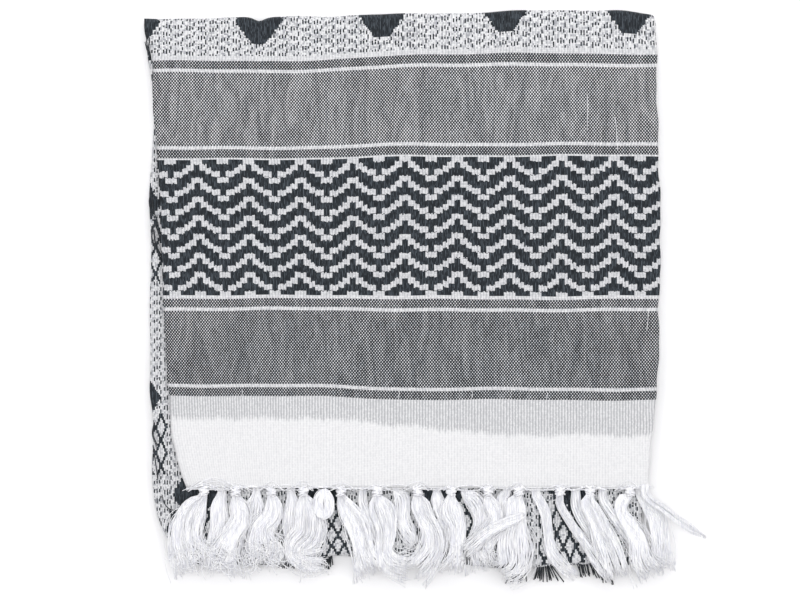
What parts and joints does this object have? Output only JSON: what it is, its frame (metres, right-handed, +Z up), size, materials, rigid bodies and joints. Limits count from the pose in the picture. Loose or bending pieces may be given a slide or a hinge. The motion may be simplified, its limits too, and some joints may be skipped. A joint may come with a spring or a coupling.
{
  "type": "keffiyeh headscarf folded flat",
  "caption": "Square cotton headscarf in a black and white woven pattern, folded flat, with a knotted tassel fringe along its hem.",
  "frame": {"origin": "middle of the flat underside, on the surface that the scarf lies on", "axes": "+Z up through the layers, +Y from the knotted hem towards the top fold, +X towards the right-hand fold as seen from above"},
  "size_m": [0.4039, 0.4083, 0.0153],
  "materials": {
    "patterned_cotton": "loosely woven cotton, white ground with black pattern threads, matt with a faint nap",
    "fringe_cotton": "soft white cotton yarn, knotted and hanging loose, matt with a faint sheen along the threads"
  },
  "bodies": {
    "root": {"top_flap": "patterned_cotton", "field_panel": "patterned_cotton", "base_panel": "patterned_cotton", "hidden_layers": "patterned_cotton", "hem_cord": "fringe_cotton", "tassel_01": "fringe_cotton", "tassel_02": "fringe_cotton", "tassel_03": "fringe_cotton", "tassel_04": "fringe_cotton", "tassel_05": "fringe_cotton", "tassel_06": "fringe_cotton", "tassel_07": "fringe_cotton", "tassel_08": "fringe_cotton", "tassel_09": "fringe_cotton", "tassel_10": "fringe_cotton", "tassel_11": "fringe_cotton", "tassel_12": "fringe_cotton", "tassel_13": "fringe_cotton", "tassel_14": "fringe_cotton", "tassel_15": "fringe_cotton", "tassel_16": "fringe_cotton", "tassel_17": "fringe_cotton", "tassel_18": "fringe_cotton", "tassel_19": "fringe_cotton", "tassel_20": "fringe_cotton", "tassel_21": "fringe_cotton", "tassel_22": "fringe_cotton", "tassel_23": "fringe_cotton", "tassel_24": "fringe_cotton", "tassel_25": "fringe_cotton", "tassel_26": "fringe_cotton", "tassel_27": "fringe_cotton", "under_fringe": "fringe_cotton"}
  },
  "joints": []
}
